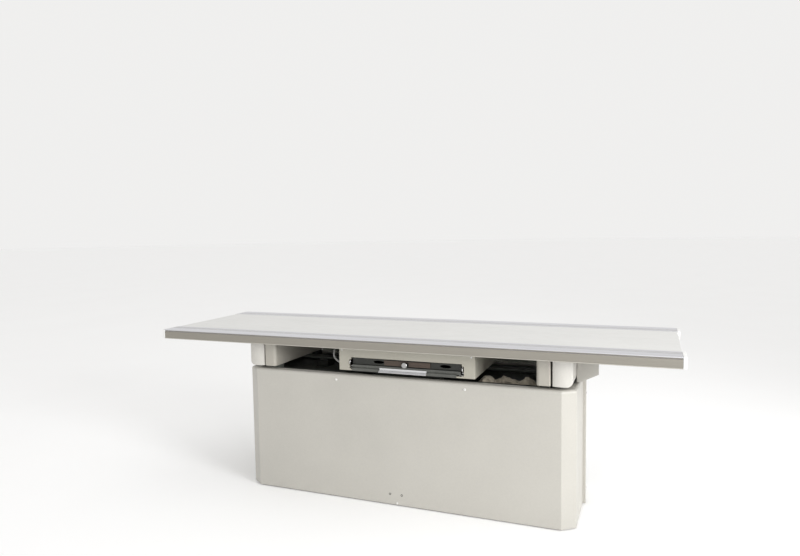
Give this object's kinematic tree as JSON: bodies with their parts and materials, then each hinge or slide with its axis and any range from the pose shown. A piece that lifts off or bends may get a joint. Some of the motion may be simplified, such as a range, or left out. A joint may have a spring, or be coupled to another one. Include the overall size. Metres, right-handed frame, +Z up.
{
  "type": "radiography table",
  "caption": "Fixed-height X-ray examination table with a four-way floating tabletop on a boxed base and a sliding film holder with a pull-out cassette tray.",
  "frame": {"origin": "on the floor, under the centre of the tabletop", "axes": "+Z up, +X along the tabletop to the right as seen by the operator, -Y towards the operator's side with the cassette tray"},
  "size_m": [2.224, 0.656, 0.695],
  "materials": {
    "cover_paint": "satin light beige-grey powder coat",
    "white_plastic": "moulded, fine texture",
    "laminate": "smooth light grey laminate",
    "anodised_aluminium": "satin anodised, brushed along its length",
    "bright_steel": "ground",
    "frame_steel": "dark primer",
    "black_steel": "semi-matt black",
    "brown_laminate": "brown phenolic board",
    "rubber": "matt",
    "roller_plastic": "turned",
    "loom_fabric": "crumpled woven wrap",
    "lead_sheath": "smooth grey sheath"
  },
  "bodies": {
    "base": {"floor_frame": "frame_steel", "levelling_foot_front_left": "rubber", "levelling_foot_front_right": "rubber", "levelling_foot_rear_left": "rubber", "levelling_foot_rear_right": "rubber", "front_cover": "cover_paint", "rear_cover": "cover_paint", "seam_strip_left": "cover_paint", "seam_strip_right": "cover_paint", "portal_frame_left": "frame_steel", "portal_frame_right": "frame_steel", "deck_plate": "frame_steel", "cross_beam_left": "cover_paint", "cross_beam_right": "cover_paint", "cross_rail_left": "bright_steel", "cross_rail_right": "bright_steel", "bucky_rail_front": "bright_steel", "bucky_rail_rear": "bright_steel", "rear_member": "frame_steel", "cable_loom": "loom_fabric"},
    "carriage": {"carriage_beam_left": "cover_paint", "carriage_beam_right": "cover_paint", "guide_block_left": "bright_steel", "guide_block_right": "bright_steel", "side_fairing_left": "cover_paint", "side_fairing_right": "cover_paint", "carriage_tie": "bright_steel", "cross_lock_magnet": "black_steel", "roller_bracket_front_left": "bright_steel", "roller_bracket_front_right": "bright_steel", "roller_bracket_rear_left": "bright_steel", "roller_bracket_rear_right": "bright_steel"},
    "tabletop": {"tabletop_panel": "laminate", "side_profile_front": "anodised_aluminium", "side_profile_rear": "anodised_aluminium", "end_cap_front_left": "white_plastic", "end_cap_front_right": "white_plastic", "end_cap_rear_left": "white_plastic", "end_cap_rear_right": "white_plastic"},
    "bucky": {"bucky_housing": "cover_paint", "bucky_front_frame": "cover_paint", "bucky_top_panel": "laminate", "scatter_grid": "anodised_aluminium", "tray_guide_left": "bright_steel", "tray_guide_right": "bright_steel", "bucky_runner_front": "black_steel", "bucky_runner_rear": "black_steel", "bucky_lead": "lead_sheath"},
    "cassette_tray": {"tray_pan": "black_steel", "tray_front": "black_steel", "tray_handle": "anodised_aluminium", "tray_latch_plate": "brown_laminate"},
    "jaw_front": {"cassette_jaw_front": "brown_laminate"},
    "jaw_rear": {"cassette_jaw_rear": "brown_laminate"},
    "tray_knob": {"tray_knob": "anodised_aluminium"},
    "roller_front_left": {"roller_front_left": "roller_plastic"},
    "roller_front_right": {"roller_front_right": "roller_plastic"},
    "roller_rear_left": {"roller_rear_left": "roller_plastic"},
    "roller_rear_right": {"roller_rear_right": "roller_plastic"}
  },
  "joints": [
    {"name": "carriage_slide", "type": "slide", "parent": "base", "child": "carriage", "axis": [0, 1, 0], "range_m": [-0.09, 0.09]},
    {"name": "tabletop_slide", "type": "slide", "parent": "carriage", "child": "tabletop", "axis": [1, 0, 0], "range_m": [-0.369, 0.431]},
    {"name": "bucky_slide", "type": "slide", "parent": "base", "child": "bucky", "axis": [1, 0, 0], "range_m": [-0.23, 0.22]},
    {"name": "tray_slide", "type": "slide", "parent": "bucky", "child": "cassette_tray", "axis": [0, -1, 0], "range_m": [0, 0.4]},
    {"name": "jaw_front_slide", "type": "slide", "parent": "cassette_tray", "child": "jaw_front", "axis": [0, -1, 0], "range_m": [-0.06, 0.04]},
    {"name": "jaw_rear_slide", "type": "slide", "parent": "cassette_tray", "child": "jaw_rear", "axis": [0, 1, 0], "range_m": [-0.06, 0.04]},
    {"name": "tray_knob_turn", "type": "hinge", "parent": "cassette_tray", "child": "tray_knob", "pos_m": [0.067, -0.265, 0.587], "axis": [0, -1, 0], "range_deg": [0, 90]},
    {"name": "roller_front_left_spin", "type": "hinge", "parent": "carriage", "child": "roller_front_left", "pos_m": [-0.614, -0.286, 0.67575], "axis": [0, 1, 0], "range_deg": [-1700, 1950]},
    {"name": "roller_front_right_spin", "type": "hinge", "parent": "carriage", "child": "roller_front_right", "pos_m": [0.676, -0.286, 0.67575], "axis": [0, 1, 0], "range_deg": [-1700, 1950]},
    {"name": "roller_rear_left_spin", "type": "hinge", "parent": "carriage", "child": "roller_rear_left", "pos_m": [-0.614, 0.286, 0.67575], "axis": [0, 1, 0], "range_deg": [-1700, 1950]},
    {"name": "roller_rear_right_spin", "type": "hinge", "parent": "carriage", "child": "roller_rear_right", "pos_m": [0.676, 0.286, 0.67575], "axis": [0, 1, 0], "range_deg": [-1700, 1950]}
  ],
  "couplings": [
    {"joint": "jaw_rear_slide", "follows": "jaw_front_slide", "ratio": 1},
    {"joint": "roller_front_left_spin", "follows": "tabletop_slide", "rad_per_m": 74.627},
    {"joint": "roller_front_right_spin", "follows": "tabletop_slide", "rad_per_m": 74.627},
    {"joint": "roller_rear_left_spin", "follows": "tabletop_slide", "rad_per_m": 74.627},
    {"joint": "roller_rear_right_spin", "follows": "tabletop_slide", "rad_per_m": 74.627}
  ]
}
